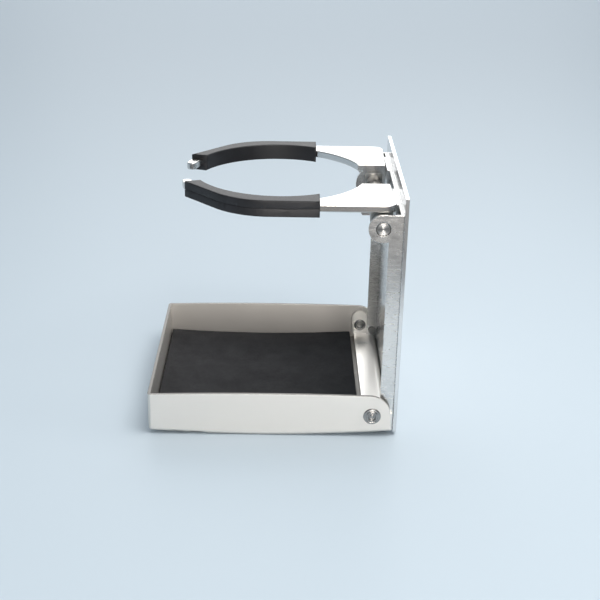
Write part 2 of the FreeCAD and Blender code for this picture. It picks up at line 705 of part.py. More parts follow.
def make_sleeve(name, side, arm):
    """The rubber sleeve over an arm's finger, with rounded long edges."""
    blank = doc.addObject("PartDesign::Body", f"{name}_sleeve_blank")
    blank.Label = f"{name}_sleeve_blank"
    bind(blank, "Placement.Base.z", FOOT)
    bend = "arm_outer + sleeve_wall - bend_centre"
    start = "sqrt(sleeve_ring_radius^2 - (sleeve_ring_depth - sleeve_start)^2)"
    finish = "sqrt(sleeve_ring_radius^2 - sleeve_end^2)"
    outline = [
        ("arm_outer + sleeve_wall", "-sleeve_start"),
        ("arm_outer + sleeve_wall", "-bend_depth"),
        (*bend_end(bend), bend, -1),
        bend_end(bend, "sleeve_straight"),
        ("sleeve_end", f"-sleeve_ring_depth - {finish}"),
        (start, "-sleeve_start", "sleeve_ring_radius", 1),
    ]
    plan = new_sketch(blank, "XY_Plane", "sleeve_foot")
    draw_outline(plan, mirrored(outline, side))
    raise_pad(blank, plan, "sleeve_top - sleeve_foot")
    ends = (number_of("-sleeve_start"), number_of("-sleeve_ring_depth - " + finish))
    round_edges(blank, "sleeve_round", lambda edge: is_long_edge(edge, ends))
    keep(joined(f"{name}_sleeve", "Part::Cut", blank, arm), f"{name}_sleeve")


def is_long_edge(edge, ends):
    """True for an edge that runs along the finger, not across its two cut ends."""
    points = [v.Point for v in edge.Vertexes]
    level = abs(points[0].z - points[-1].z) < TOLERANCE
    at_root = all(abs(p.y - ends[0]) < TOLERANCE for p in points)
    touches_nose = any(abs(p.y - ends[1]) < TOLERANCE for p in points)
    at_nose = touches_nose and edge.Length < NOSE_END_LONGEST
    return level and not at_root and not at_nose


# ---------------------------------------------------------------- assembly

make_back_plate()
make_channel()
drill_flanges(subparts[-1])
make_hinge_bracket()
make_bracket_rivets()
make_tray_pan()
make_tray_pad()
make_arm_pin()
make_centre_spacer()
for side_name, side_sign in SIDES:
    make_stop_strip(side_name, side_sign)
    make_tray_rivet(side_name, side_sign)
    make_tray_washer(side_name, side_sign)
    make_ear_washer(side_name, side_sign)
    make_arm_spring(side_name, side_sign)
    arm_body = make_arm(side_name, side_sign)
    make_saddle(side_name, side_sign)
    make_sleeve(side_name, side_sign, arm_body)
doc.recompute()

# ---------------------------------------------------------------- checks and export

for thing in doc.Objects:
    if "Invalid" in thing.State or "Error" in thing.State:
        raise RuntimeError(f"{thing.Label} failed: {thing.State}")
for part in subparts:
    if part.Shape.isNull() or not part.Shape.isValid():
        raise RuntimeError(f"{part.Label} has no valid shape")

os.makedirs("parts", exist_ok=True)
for part in subparts:
    part.Shape.exportStep(f"parts/{part.Label}.step")
    box = part.Shape.BoundBox
    print(f"{part.Label:22s} solids {len(part.Shape.Solids)}  volume {part.Shape.Volume:9.1f}"
          f"  x {box.XMin:7.2f} {box.XMax:7.2f}  y {box.YMin:8.2f} {box.YMax:7.2f}"
          f"  z {box.ZMin:7.2f} {box.ZMax:7.2f}")
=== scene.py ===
# %% [markdown]
# # A folding drink holder in stainless steel, foam and rubber
# The real thing is pressed from steel sheet: a back plate and channel that are
# screwed to a wall, two curved arms with rubber sleeves, and a shallow tray with a
# foam liner.  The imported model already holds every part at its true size, so this
# lesson adds what a lens would see: how each surface was made, the moulded rubber,
# the soft foam and the rolled rivet heads.

# %% Load the fixed frame
import math

import bmesh
import bpy
from mathutils import Matrix, Vector, noise
from mathutils.bvhtree import BVHTree


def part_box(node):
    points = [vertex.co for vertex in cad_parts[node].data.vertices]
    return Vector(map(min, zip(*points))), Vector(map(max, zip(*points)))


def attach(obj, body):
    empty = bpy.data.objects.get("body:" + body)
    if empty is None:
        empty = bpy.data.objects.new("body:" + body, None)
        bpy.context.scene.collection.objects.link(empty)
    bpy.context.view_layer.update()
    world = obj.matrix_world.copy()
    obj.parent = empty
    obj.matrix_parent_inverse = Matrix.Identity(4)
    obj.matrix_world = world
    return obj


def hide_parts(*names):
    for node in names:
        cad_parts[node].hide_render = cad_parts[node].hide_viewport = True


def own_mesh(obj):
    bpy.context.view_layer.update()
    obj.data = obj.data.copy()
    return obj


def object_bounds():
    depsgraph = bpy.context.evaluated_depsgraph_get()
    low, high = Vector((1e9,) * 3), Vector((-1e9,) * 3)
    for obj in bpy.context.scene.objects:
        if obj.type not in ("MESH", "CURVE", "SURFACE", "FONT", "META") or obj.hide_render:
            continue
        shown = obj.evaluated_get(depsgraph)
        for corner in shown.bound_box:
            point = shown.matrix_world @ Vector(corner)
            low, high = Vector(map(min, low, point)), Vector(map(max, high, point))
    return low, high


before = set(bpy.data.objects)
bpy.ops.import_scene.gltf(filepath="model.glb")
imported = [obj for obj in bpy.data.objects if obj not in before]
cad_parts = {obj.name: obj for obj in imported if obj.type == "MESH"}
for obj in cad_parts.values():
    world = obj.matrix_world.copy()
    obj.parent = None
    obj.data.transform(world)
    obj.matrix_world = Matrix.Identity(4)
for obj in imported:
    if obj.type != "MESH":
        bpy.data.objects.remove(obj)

cad_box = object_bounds()
MM = 0.001
size_mm = [round((high - low) / MM, 1) for low, high in zip(*cad_box)]
print("the model measures", size_mm, "mm")

# %% [markdown]
# ## The camera
# The view looks along the wall, from the holder's right, a little above the tray.
# A long lens from half a metre keeps the plate's edges nearly parallel.  The angles
# below turn a camera that first looks along -X, with its picture's right along +Y.

# %% Camera
CAMERA_PLACE = Vector((470.6, -49.2, 194.9)) * MM
LOOK_DOWN = math.radians(23.68)
LOOK_ASIDE = math.radians(0.93)
ROLL = math.radians(1.22)
LENS_MM = 68.35

forward = Vector((-math.cos(LOOK_ASIDE) * math.cos(LOOK_DOWN),
                  math.sin(LOOK_ASIDE) * math.cos(LOOK_DOWN),
                  -math.sin(LOOK_DOWN)))
level = Vector((math.sin(LOOK_ASIDE), math.cos(LOOK_ASIDE), 0.0))
upward = level.cross(forward)
camera = bpy.data.objects.new("camera", bpy.data.cameras.new("camera"))
bpy.context.scene.collection.objects.link(camera)
turn = Matrix((level, upward, -forward)).transposed() @ Matrix.Rotation(ROLL, 3, "Z")
camera.matrix_world = Matrix.Translation(CAMERA_PLACE) @ turn.to_4x4()
camera.data.lens = LENS_MM
camera.data.sensor_width = 36.0
camera.data.clip_start = 0.01
bpy.context.scene.camera = camera
print("camera is", round(CAMERA_PLACE.length, 3), "m from the screw holes' middle")

# %% [markdown]
# ## Colours and nodes
# Colours are read off a chart as sRGB hex, and a shader wants them linear.  Every
# material below is built by one helper that adds a node with its settings and links,
# so a recipe reads from top to bottom.


# %% Colour and node helpers
def linear(hex_code):
    """An sRGB hex colour as the linear RGBA that a shader wants."""
    channels = [int(hex_code[i:i + 2], 16) / 255 for i in (1, 3, 5)]
    bent = [c / 12.92 if c <= 0.04045 else ((c + 0.055) / 1.055) ** 2.4 for c in channels]
    return (*bent, 1.0)


def add_node(material, kind, settings=None, links=None, values=None):
    """Adds a node: settings are its properties, values its sockets, links what feeds it."""
    tree = material.node_tree
    node = tree.nodes.new(kind)
    for key, value in (settings or {}).items():
        setattr(node, key, value)
    for key, value in (values or {}).items():
        node.inputs[key].default_value = value
    for key, source in (links or {}).items():
        tree.links.new(source, node.inputs[key])
    return node


def new_material(name, colour, metallic, roughness):
    """A material with a shader, an output and the piece's own coordinates in place."""
    material = bpy.data.materials.new(name)
    material.use_nodes = True
    material.node_tree.nodes.clear()
    shader = add_node(material, "ShaderNodeBsdfPrincipled", values={
        "Base Color": linear(colour), "Metallic": metallic, "Roughness": roughness})
    add_node(material, "ShaderNodeOutputMaterial", links={"Surface": shader.outputs["BSDF"]})
    place = add_node(material, "ShaderNodeTexCoord").outputs["Object"]
    return material, shader, place


def colour_ramp(material, factor, stops):
    """A ramp through (position, hex colour) stops, fed by a factor."""
    ramp = add_node(material, "ShaderNodeValToRGB", links={"Fac": factor})
    band = ramp.color_ramp
    while len(band.elements) < len(stops):
        band.elements.new(0.5)
    for element, (position, colour) in zip(band.elements, stops):
        element.position = position
        element.color = linear(colour)
    return ramp.outputs["Color"]


def span(material, factor, low, high):
    """Maps a 0 to 1 pattern onto the range low to high."""
    return add_node(material, "ShaderNodeMapRange", links={"Value": factor},
                    values={"To Min": low, "To Max": high}).outputs["Result"]


def per_metre(spacing_mm):
    """The texture scale whose features repeat about every spacing_mm."""
    return 1.0 / (spacing_mm * MM)


def stretched(material, place, stretch):
    """Coordinates squeezed along some axes, so that a noise draws out into lines."""
    return add_node(material, "ShaderNodeMapping", links={"Vector": place},
                    values={"Scale": stretch}).outputs["Vector"]


# %% [markdown]
# ## Stainless steel sheet
# All the sheet is taken as one stainless steel, a light grey that leans a little
# warm, and what tells the parts apart is the finish.  A brushed sheet has fine lines along the
# brush, which spread a highlight across them.  The lines are really about 0.05 mm
# apart, too fine to show here, so they are drawn at 0.25 mm.  Soft clouds in the
# roughness stand for finger marks and the mill's unevenness, and a Bevel node rounds
# the cut edges by 0.25 mm, as tumbling does, so that they catch the light.  The
# satin tray is the roughest and spreads light widely, and the polished arms mirror
# whatever is in front of them.


# %% Brushed and polished steel
BRUSH_SPACING_MM = 0.25
CLOUD_MM = 14.0
EDGE_ROUND_MM = 0.25
LINE_STRETCH = 0.02


def rounded_bump(material, shader, height, strength, depth_mm):
    """Bump from a height, on top of edges rounded as tumbling rounds them."""
    soft_edges = add_node(material, "ShaderNodeBevel", {"samples": 6},
                          values={"Radius": EDGE_ROUND_MM * MM})
    bump = add_node(material, "ShaderNodeBump",
                    links={"Height": height, "Normal": soft_edges.outputs["Normal"]},
                    values={"Strength": strength, "Distance": depth_mm * MM})
    material.node_tree.links.new(bump.outputs["Normal"], shader.inputs["Normal"])


def stainless(name, colour, roughness, brush_axis, brush_depth=0.25, spread=0.10):
    """Stainless sheet whose brush lines run along an axis: 0 is X, 1 is Y and 2 is Z."""
    material, shader, place = new_material(name, colour, 1.0, roughness)
    stretch = [1.0, 1.0, 1.0]
    stretch[brush_axis] = LINE_STRETCH
    lines = add_node(material, "ShaderNodeTexNoise",
                     links={"Vector": stretched(material, place, stretch)},
                     values={"Scale": per_metre(BRUSH_SPACING_MM), "Detail": 3.0,
                             "Roughness": 0.6})
    clouds = add_node(material, "ShaderNodeTexNoise", links={"Vector": place},
                      values={"Scale": per_metre(CLOUD_MM), "Detail": 4.0})
    both = add_node(material, "ShaderNodeMix", {"data_type": "FLOAT"},
                    links={"A": lines.outputs["Fac"], "B": clouds.outputs["Fac"]},
                    values={"Factor": 0.5})
    material.node_tree.links.new(
        span(material, both.outputs["Result"], roughness - spread, roughness + spread),
        shader.inputs["Roughness"])
    rounded_bump(material, shader, lines.outputs["Fac"], brush_depth, 0.02)
    return material


TRAY_COLOUR = "#DFDCD7"
tray_steel = stainless("satin_stainless_tray", TRAY_COLOUR, 0.50, 1, 0.45, 0.08)
arm_steel = stainless("polished_stainless_arm", "#D8D7D5", 0.20, 0, 0.12, 0.05)
plate_steel = stainless("polished_stainless_plate", "#DDDEDF", 0.22, 2, 0.12, 0.06)
bracket_steel = stainless("pressed_stainless_bracket", "#F0EEEA", 0.33, 0, 0.15, 0.07)
print("four stainless finishes, brushed at", BRUSH_SPACING_MM, "mm")

# %% [markdown]
# ## Painted shade on the tray's rim
# The level tops of the tray's walls are painted darker than the face of the sheet, as
# painted shade: left as they are, they mirror the bright sky as a white line.  The rim is
# wherever the tray's own surface points straight up, which the shader reads from the
# object's normal, so it stays put when the tray folds.

# %% Painted shade on the rim
RIM_FACES_UP = 0.9
own_normal = add_node(tray_steel, "ShaderNodeTexCoord").outputs["Normal"]
normal_parts = add_node(tray_steel, "ShaderNodeSeparateXYZ", links={"Vector": own_normal})
# Painted shade: this mask picks out every face of the tray that points up
rim_shade_mask = add_node(tray_steel, "ShaderNodeMath", {"operation": "GREATER_THAN"},
                  links={0: normal_parts.outputs["Z"]}, values={1: RIM_FACES_UP})
tray_shader = next(n for n in tray_steel.node_tree.nodes if n.type == "BSDF_PRINCIPLED")
# Painted shade: faces that point up get a darker grey than the sheet
tray_steel.node_tree.links.new(
    colour_ramp(tray_steel, rim_shade_mask.outputs["Value"], [(0.0, TRAY_COLOUR), (1.0, "#8B8986")]),
    tray_shader.inputs["Base Color"])
print("the rim is darker than the sheet")

# %% [markdown]
# ## The sanded channel
# The channel's flanges were sanded across by hand after they were folded.  That
# leaves short ticks a few millimetres long and far apart, which a stretched noise
# gives once a ramp keeps only its peaks.  Each tick is a shallow groove that looks a
# shade darker than the sheet.

# %% Sanded steel
TICK_SPACING_MM = 1.1
TICK_STRETCH = 0.22
channel_steel, channel_shader, channel_place = new_material(
    "sanded_stainless_channel", "#CFCFCE", 1.0, 0.34)
ticks = add_node(channel_steel, "ShaderNodeTexNoise",
                 links={"Vector": stretched(channel_steel, channel_place,
                                            (1.0, TICK_STRETCH, 1.0))},
                 values={"Scale": per_metre(TICK_SPACING_MM), "Detail": 5.0, "Roughness": 0.7})
channel_steel.node_tree.links.new(
    colour_ramp(channel_steel, ticks.outputs["Fac"],
                [(0.30, "#A2A2A3"), (0.38, "#CFCFCE"), (0.66, "#D8D8D7")]),
    channel_shader.inputs["Base Color"])
channel_steel.node_tree.links.new(
    span(channel_steel, ticks.outputs["Fac"], 0.18, 0.34), channel_shader.inputs["Roughness"])
rounded_bump(channel_steel, channel_shader, ticks.outputs["Fac"], 0.35, 0.05)
print("sanding ticks every", TICK_SPACING_MM, "mm")

# %% [markdown]
# ## Turned steel
# Pins and rivets are turned on a lathe, which leaves rings round the axis on their
# ends.  Rings throw one bright streak across a flat end, and that streak is how the
# eye knows a turned part.  A ring pattern about each pin's own axis makes them.


# %% Turned steel
RING_SPACING_MM = 0.35
WAVE_PER_UNIT = 20 / math.tau  # rings per unit that the wave texture draws at scale 1


def turned_steel(name, centre):
    """Steel with lathe rings about an X axis through a point."""
    material, shader, place = new_material(name, "#A3A2A0", 1.0, 0.27)
    moved = add_node(material, "ShaderNodeMapping", {"vector_type": "POINT"},
                     links={"Vector": place}, values={"Location": -centre})
    rings = add_node(material, "ShaderNodeTexWave",
                     {"wave_type": "RINGS", "rings_direction": "X"},
                     links={"Vector": moved.outputs["Vector"]},
                     values={"Scale": per_metre(RING_SPACING_MM) / WAVE_PER_UNIT,
                             "Distortion": 0.4, "Detail": 2.0})
    rounded_bump(material, shader, rings.outputs["Fac"], 0.7, 0.05)
    return material


def middle_of(node):
    """The middle of a node's box."""
    low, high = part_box(node)
    return (low + high) / 2


arm_pin_axis = middle_of("arm_hinge_pin")
tray_pin_axis = middle_of("right_tray_rivet")
arm_pin_steel = turned_steel("turned_steel_arm_pin", Vector((0, *arm_pin_axis[1:])))
tray_pin_steel = turned_steel("turned_steel_rivet", Vector((0, *tray_pin_axis[1:])))
print("arm pin axis", [round(v / MM, 1) for v in arm_pin_axis[1:]], "mm")

# %% [markdown]
# ## Nylon and spring wire
# The washers are natural nylon, milky and slightly waxy.  The springs are drawn
# stainless wire, duller than sheet because the die scores it along its length.

# %% Nylon and wire
NYLON_GRAIN_MM = 0.6
nylon, nylon_shader, nylon_place = new_material("moulded_nylon", "#DCDBD2", 0.0, 0.42)
nylon_shader.inputs["Subsurface Weight"].default_value = 0.15
nylon_shader.inputs["Subsurface Scale"].default_value = 1.0 * MM
nylon_grain = add_node(nylon, "ShaderNodeTexNoise", links={"Vector": nylon_place},
                       values={"Scale": per_metre(NYLON_GRAIN_MM), "Detail": 3.0})
nylon_bump = add_node(nylon, "ShaderNodeBump", links={"Height": nylon_grain.outputs["Fac"]},
                      values={"Strength": 0.2, "Distance": 0.03 * MM})
nylon.node_tree.links.new(nylon_bump.outputs["Normal"], nylon_shader.inputs["Normal"])
spring_steel = stainless("drawn_stainless_wire", "#A9A9A8", 0.36, 0, 0.3)
print("nylon grain", NYLON_GRAIN_MM, "mm")

# %% [markdown]
# ## Giving each CAD part its finish
# A carried-over part keeps its mesh, and only its material slots change.

# %% Finishes of the carried-over parts
FINISHES = {
    "back_plate": plate_steel,
    "channel_bracket": channel_steel,
    "right_stop_strip": plate_steel,
    "left_stop_strip": plate_steel,
    "hinge_bracket": bracket_steel,
    "bracket_rivets": tray_pin_steel,
    "right_tray_washer": nylon,
    "left_tray_washer": nylon,
    "tray_pan": tray_steel,
    "arm_hinge_pin": arm_pin_steel,
    "centre_spacer": arm_pin_steel,
    "right_ear_washer": nylon,
    "left_ear_washer": nylon,
    "right_arm": arm_steel,
    "left_arm": arm_steel,
    "right_arm_saddle": bracket_steel,
    "left_arm_saddle": bracket_steel,
}
for node_name, finish in FINISHES.items():
    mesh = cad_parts[node_name].data
    mesh.materials.clear()
    mesh.materials.append(finish)
print(len(FINISHES), "carried-over parts have a finish")

# %% [markdown]
# ## Pieces of our own
# A new piece is a bmesh that becomes an object at the origin.  It rides on a body of
# the frame, so that it moves with the joint.


# %% Turning a bmesh into a piece
def finish_piece(name, shape, material, body, stands_for=()):
    """Makes a piece from a bmesh, in place, and ties it to its body."""
    mesh = bpy.data.meshes.new(name)
    shape.to_mesh(mesh)
    shape.free()
    mesh.materials.append(material)
    piece = bpy.data.objects.new(name, mesh)
    bpy.context.scene.collection.objects.link(piece)
    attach(piece, body)
    if stands_for:
        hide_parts(*stands_for)
    print(name, "has", len(mesh.polygons), "faces")
    return piece


def shade_smooth(piece, angle=math.radians(35)):
    """Smooth shading that keeps the edges sharper than an angle."""
    piece.data.shade_smooth()
    piece.data.set_sharp_from_angle(angle=angle)


# %% [markdown]
# ## Floor and light
# Steel only looks like steel when it has light and dark things to mirror.  So the
# sky is bright behind the holder's left side, where the arms' flat tops look, and
# dim on the right, where the upright sides look.  A wide lamp overhead and a low one
# on the right fill in, and the floor is a pale blue sheet with a faint gloss.
# The Standard view keeps white steel white, where a film-like curve would grey it.


# %% Floor
def flat_sheet(name, size, middle_x, height, material):
    """A square sheet that lies level on the stage."""
    shape = bmesh.new()
    bmesh.ops.create_grid(shape, x_segments=1, y_segments=1, size=size / 2)
    bmesh.ops.translate(shape, verts=shape.verts, vec=(middle_x, 0, height))
    mesh = bpy.data.meshes.new(name)
    shape.to_mesh(mesh)
    shape.free()
    mesh.materials.append(material)
    sheet = bpy.data.objects.new(name, mesh)
    bpy.context.scene.collection.objects.link(sheet)
    return sheet


FLOOR_SIZE = 12.0
floor_paint, floor_shader, _ = new_material("pale_studio_sheet", "#C3D0DA", 0.0, 0.45)
floor_shader.inputs["Specular IOR Level"].default_value = 0.15
flat_sheet("floor", FLOOR_SIZE, 0, cad_box[0].z, floor_paint)
print("the floor is", FLOOR_SIZE, "m across")

# %% Sky
world = bpy.data.worlds.new("studio")
bpy.context.scene.world = world
bpy.context.scene.view_settings.view_transform = "Standard"
world.use_nodes = True
way = add_node(world, "ShaderNodeTexCoord").outputs["Generated"]
ways = add_node(world, "ShaderNodeSeparateXYZ", links={"Vector": way})
across_sky = add_node(world, "ShaderNodeMapRange", links={"Value": ways.outputs["X"]},
                      values={"From Min": -1.0, "From Max": 1.0})
sky_colour = colour_ramp(world, across_sky.outputs["Result"],
                         [(0.0, "#FFFFFF"), (0.10, "#F6F9FB"), (0.24, "#98A3AB"),
                          (0.60, "#7D858B"), (1.0, "#5A5F64")])
backdrop = world.node_tree.nodes["Background"]
world.node_tree.links.new(sky_colour, backdrop.inputs["Color"])
backdrop.inputs["Strength"].default_value = 1.25


# %% Lamps
def soft_lamp(name, place, size, watts, colour="#FFFFFF"):
    """A square area lamp aimed at the middle of the holder."""
    lamp = bpy.data.objects.new(name, bpy.data.lights.new(name, "AREA"))
    bpy.context.scene.collection.objects.link(lamp)
    lamp.data.size = size
    lamp.data.energy = watts
    lamp.data.color = linear(colour)[:3]
    lamp.location = place
    aim = (cad_box[0] + cad_box[1]) / 2 - Vector(place)
    lamp.rotation_euler = aim.to_track_quat("-Z", "Y").to_euler()
    return lamp


soft_lamp("overhead", (0.12, 0.20, 0.70), 0.5, 4.8, "#FFFBF6")
soft_lamp("behind_left", (-1.60, 0.0, 0.75), 1.1, 5.2)
soft_lamp("low_right", (0.90, 0.05, 0.12), 0.30, 4.4, "#FFF9F3")
print("sky and three lamps")

# %% [markdown]
# ## A flag on the floor
# The holder's upright sides look down at the floor on the right, and the higher the
# side, the further out it looks.  A dark card lying there, a flag, makes the ears and
# the arms' edges mid grey while the tray keeps its bright floor.  Only reflections
# see it, and only from above: it is clear from below, casts no shadow and is hidden
# from the camera and from diffuse light, so the floor under it looks the same.

# %% Flag
FLAG_NEAR = 0.20
FLAG_SIZE = 1.0
FLAG_LIFT = 0.5 * MM
flag_felt, felt_shader, _ = new_material("grey_felt", "#3E4043", 0.0, 0.9)
seen_from_below = add_node(flag_felt, "ShaderNodeNewGeometry").outputs["Backfacing"]
clear = add_node(flag_felt, "ShaderNodeBsdfTransparent")
one_sided = add_node(flag_felt, "ShaderNodeMixShader",
                     links={0: seen_from_below, 1: felt_shader.outputs["BSDF"],
                            2: clear.outputs["BSDF"]})
felt_output = next(n for n in flag_felt.node_tree.nodes if n.type == "OUTPUT_MATERIAL")
flag_felt.node_tree.links.new(one_sided.outputs["Shader"], felt_output.inputs["Surface"])
flag = flat_sheet("flag", FLAG_SIZE, FLAG_NEAR + FLAG_SIZE / 2, cad_box[0].z + FLAG_LIFT,
                  flag_felt)
flag.visible_camera = False
flag.visible_diffuse = False
flag.visible_shadow = False
print("flag lies from", FLAG_NEAR, "m")

# %% [markdown]
# ## Foam liner
# The tray is lined with a 3 mm sheet of closed-cell foam, knife-cut a little under
# size and dropped in.  It could be a plain slab, but a real sheet follows the dished
# floor, its cut edges are softly rounded, and its face is never quite flat.  So a
# grid is dished to the tray's curve, given its thickness, bevelled along the rim and
# then disturbed by a very shallow noise.

# %% Foam finish
FOAM_GRAIN_MM = 0.55
FOAM_MOTTLE_MM = 9.0
foam, foam_shader, foam_place = new_material("closed_cell_foam", "#131315", 0.0, 0.9)
grain = add_node(foam, "ShaderNodeTexNoise", links={"Vector": foam_place},
                 values={"Scale": per_metre(FOAM_GRAIN_MM), "Detail": 4.0, "Roughness": 0.7})
mottle = add_node(foam, "ShaderNodeTexNoise", links={"Vector": foam_place},
                  values={"Scale": per_metre(FOAM_MOTTLE_MM), "Detail": 6.0, "Roughness": 0.65})
foam_tone = add_node(foam, "ShaderNodeMix", {"data_type": "FLOAT"},
                     links={"A": grain.outputs["Fac"], "B": mottle.outputs["Fac"]},
                     values={"Factor": 0.5})
foam.node_tree.links.new(
    colour_ramp(foam, foam_tone.outputs["Result"],
                [(0.36, "#2A2A2C"), (0.5, "#323234"), (0.64, "#3A3A3C")]),
    foam_shader.inputs["Base Color"])
foam_bump = add_node(foam, "ShaderNodeBump", links={"Height": grain.outputs["Fac"]},
                     values={"Strength": 0.7, "Distance": 0.2 * MM})
foam.node_tree.links.new(foam_bump.outputs["Normal"], foam_shader.inputs["Normal"])
foam_shader.inputs["Specular IOR Level"].default_value = 0.2
print("foam grain", FOAM_GRAIN_MM, "mm")

# %% Foam liner
FOAM_SHEET = 3.0 * MM
FOAM_EDGE = 0.5 * MM
FOAM_WAVE = 0.10 * MM
FOAM_WAVE_LENGTH = 16.0 * MM
FOAM_CELL = 1.5 * MM
INSET = 0.02 * MM
RAY_START = 10.0 * MM
RIM_ANGLE = math.radians(60)
pad_low, pad_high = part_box("tray_pad")
pad_size = pad_high - pad_low
liner = bmesh.new()
bmesh.ops.create_grid(liner, x_segments=round(pad_size.x / FOAM_CELL),
                      y_segments=round(pad_size.y / FOAM_CELL), size=0.5)
bmesh.ops.scale(liner, verts=liner.verts, vec=(pad_size.x, pad_size.y, 1.0))
bmesh.ops.translate(liner, verts=liner.verts,
                    vec=((pad_low.x + pad_high.x) / 2, (pad_low.y + pad_high.y) / 2, 0))
pad_surface = BVHTree.FromObject(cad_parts["tray_pad"],
                                 bpy.context.evaluated_depsgraph_get())
for vert in liner.verts:
    x = min(max(vert.co.x, pad_low.x + INSET), pad_high.x - INSET)
    y = min(max(vert.co.y, pad_low.y + INSET), pad_high.y - INSET)
    hit = pad_surface.ray_cast(Vector((x, y, pad_low.z - RAY_START)), Vector((0, 0, 1)))[0]
    vert.co.z = hit.z
raised = bmesh.ops.extrude_face_region(liner, geom=liner.faces[:])
top_verts = [v for v in raised["geom"] if isinstance(v, bmesh.types.BMVert)]
bmesh.ops.translate(liner, verts=top_verts, vec=(0, 0, FOAM_SHEET - FOAM_WAVE))
bmesh.ops.recalc_face_normals(liner, faces=liner.faces)
top_set = set(top_verts)
rim = [e for e in liner.edges if e.verts[0] in top_set and e.verts[1] in top_set
       and e.calc_face_angle(0) > RIM_ANGLE]
bmesh.ops.bevel(liner, geom=rim, offset=FOAM_EDGE, offset_type="OFFSET", affect="EDGES",
                segments=3, profile=0.5, material=-1)
for vert in liner.verts:
    if vert.normal.z > 0.5:
        vert.co.z += FOAM_WAVE * noise.noise(vert.co / FOAM_WAVE_LENGTH)
foam_liner = finish_piece("foam_liner", liner, foam, "tray", ("tray_pad",))
shade_smooth(foam_liner)

# %% [markdown]
# ## Rubber sleeves
# Each arm wears a moulded rubber sleeve.  It is cast in a two-part mould, and the
# halves meet in a parting line half way up, which never runs quite straight.  The
# sleeve's shape is right in the model already, so a merged copy of it is sliced with
# planes to give it edges to work with, and the two slices that bound the parting line
# are pressed in a little.  They are pressed only on the outer side, where the mould
# parts: the ring side is smooth, and a ray finds the slot that holds the steel.

# %% Rubber finish
RUBBER_GRAIN_MM = 0.7
RUBBER_BLOOM_MM = 12.0
rubber, rubber_shader, rubber_place = new_material("moulded_rubber", "#18181B", 0.0, 0.5)
pebble = add_node(rubber, "ShaderNodeTexNoise", links={"Vector": rubber_place},
                  values={"Scale": per_metre(RUBBER_GRAIN_MM), "Detail": 4.0,
                          "Roughness": 0.6})
bloom = add_node(rubber, "ShaderNodeTexNoise", links={"Vector": rubber_place},
                 values={"Scale": per_metre(RUBBER_BLOOM_MM), "Detail": 3.0})
rubber.node_tree.links.new(
    colour_ramp(rubber, bloom.outputs["Fac"], [(0.35, "#131316"), (0.65, "#202024")]),
    rubber_shader.inputs["Base Color"])
rubber.node_tree.links.new(span(rubber, pebble.outputs["Fac"], 0.40, 0.58),
                           rubber_shader.inputs["Roughness"])
rubber_bump = add_node(rubber, "ShaderNodeBump", links={"Height": pebble.outputs["Fac"]},
                       values={"Strength": 0.35, "Distance": 0.08 * MM})
rubber.node_tree.links.new(rubber_bump.outputs["Normal"], rubber_shader.inputs["Normal"])
print("rubber grain", RUBBER_GRAIN_MM, "mm")

# %% Sleeves
SEAM_HALF = 0.13 * MM
SEAM_DEPTH = 0.28 * MM
SEAM_WANDER = 0.55 * MM
SEAM_WAVE_LENGTH = 14.0 * MM
RING_CENTRE = Vector((0, -51.6)) * MM
RING_RADIUS = 37.6 * MM
SLICE_EVERY = 2.5 * MM
SLOT_REACH = 9.0 * MM
MERGE = 0.01 * MM
RAY_LIFT = 10 * MERGE
UPRIGHT = 0.3
SEAM_BAND = 2.2 * SEAM_HALF
SEAM_GROOVE = 1.2 * SEAM_HALF


def cut_flat(shape, point, normal):
    """Adds the edges where a plane crosses the shape."""
    bmesh.ops.bisect_plane(shape, geom=shape.verts[:] + shape.edges[:] + shape.faces[:],
                           dist=MERGE / 2, plane_co=point, plane_no=normal)


def make_sleeve(side):
    """A rubber sleeve with its parting line."""
    node = f"{side}_sleeve"
    low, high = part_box(node)
    shape = bmesh.new()
    shape.from_mesh(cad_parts[node].data)
    bmesh.ops.remove_doubles(shape, verts=shape.verts, dist=MERGE)
    slices = int((high.y - low.y) / SLICE_EVERY)
    for step in range(1, slices):
        cut_flat(shape, (0, low.y + step * SLICE_EVERY, 0), (0, 1, 0))
    seam = (low.z + high.z) / 2
    for offset in (-2 * SEAM_HALF, -SEAM_HALF, SEAM_HALF, 2 * SEAM_HALF):
        cut_flat(shape, (0, 0, seam + offset), (0, 0, 1))
    shape.normal_update()
    walls = BVHTree.FromBMesh(shape)
    moves = []
    for vert in shape.verts:
        if abs(vert.normal.z) > UPRIGHT or abs(vert.co.z - seam) > SEAM_BAND:
            continue
        if (vert.co.xy - RING_CENTRE).length < RING_RADIUS:
            continue
        start = vert.co + vert.normal * RAY_LIFT
        if walls.ray_cast(start, vert.normal, SLOT_REACH)[0] is not None:
            continue
        wander = SEAM_WANDER * noise.noise(vert.co / SEAM_WAVE_LENGTH)
        inward = SEAM_DEPTH if abs(vert.co.z - seam) < SEAM_GROOVE else 0.0
        moves.append((vert, Vector((0, 0, wander)) - vert.normal * inward))
    for vert, move in moves:
        vert.co += move
    bmesh.ops.triangulate(shape, faces=[f for f in shape.faces if len(f.verts) > 4])
    sleeve = finish_piece(f"rubber_{node}", shape, rubber, f"{side}_grip",
                          (node,))
    shade_smooth(sleeve, math.radians(50))
    even = sleeve.modifiers.new("even_shading", "WEIGHTED_NORMAL")
    even.keep_sharp = True
    print(f"{len(moves)} points of the {side} parting line moved")


for side_name in ("right", "left"):
    make_sleeve(side_name)

# %% [markdown]
# ## Rolled rivets
# The tray turns on two tubular rivets.  Setting one rolls its hollow end outwards
# into a round lip, with a pip left standing in the middle by the tool.  It is a
# turned shape, so half its section is drawn once and spun about the pin's axis.

# %% Rivets
RIVET_STEPS = 64
RIVET_EDGE = 0.10 * MM
# The half section in mm: how far out from the tray's wall, then the radius.
RIVET_SECTION = ((0.45, 0.0), (0.50, 0.5), (0.35, 0.85), (0.10, 1.0), (0.10, 1.45),
                 (0.60, 1.65), (0.80, 2.05), (0.62, 2.45), (0.30, 2.6), (0.45, 2.9),
                 (0.38, 3.5), (0.0, 3.8), (0.0, 2.2))
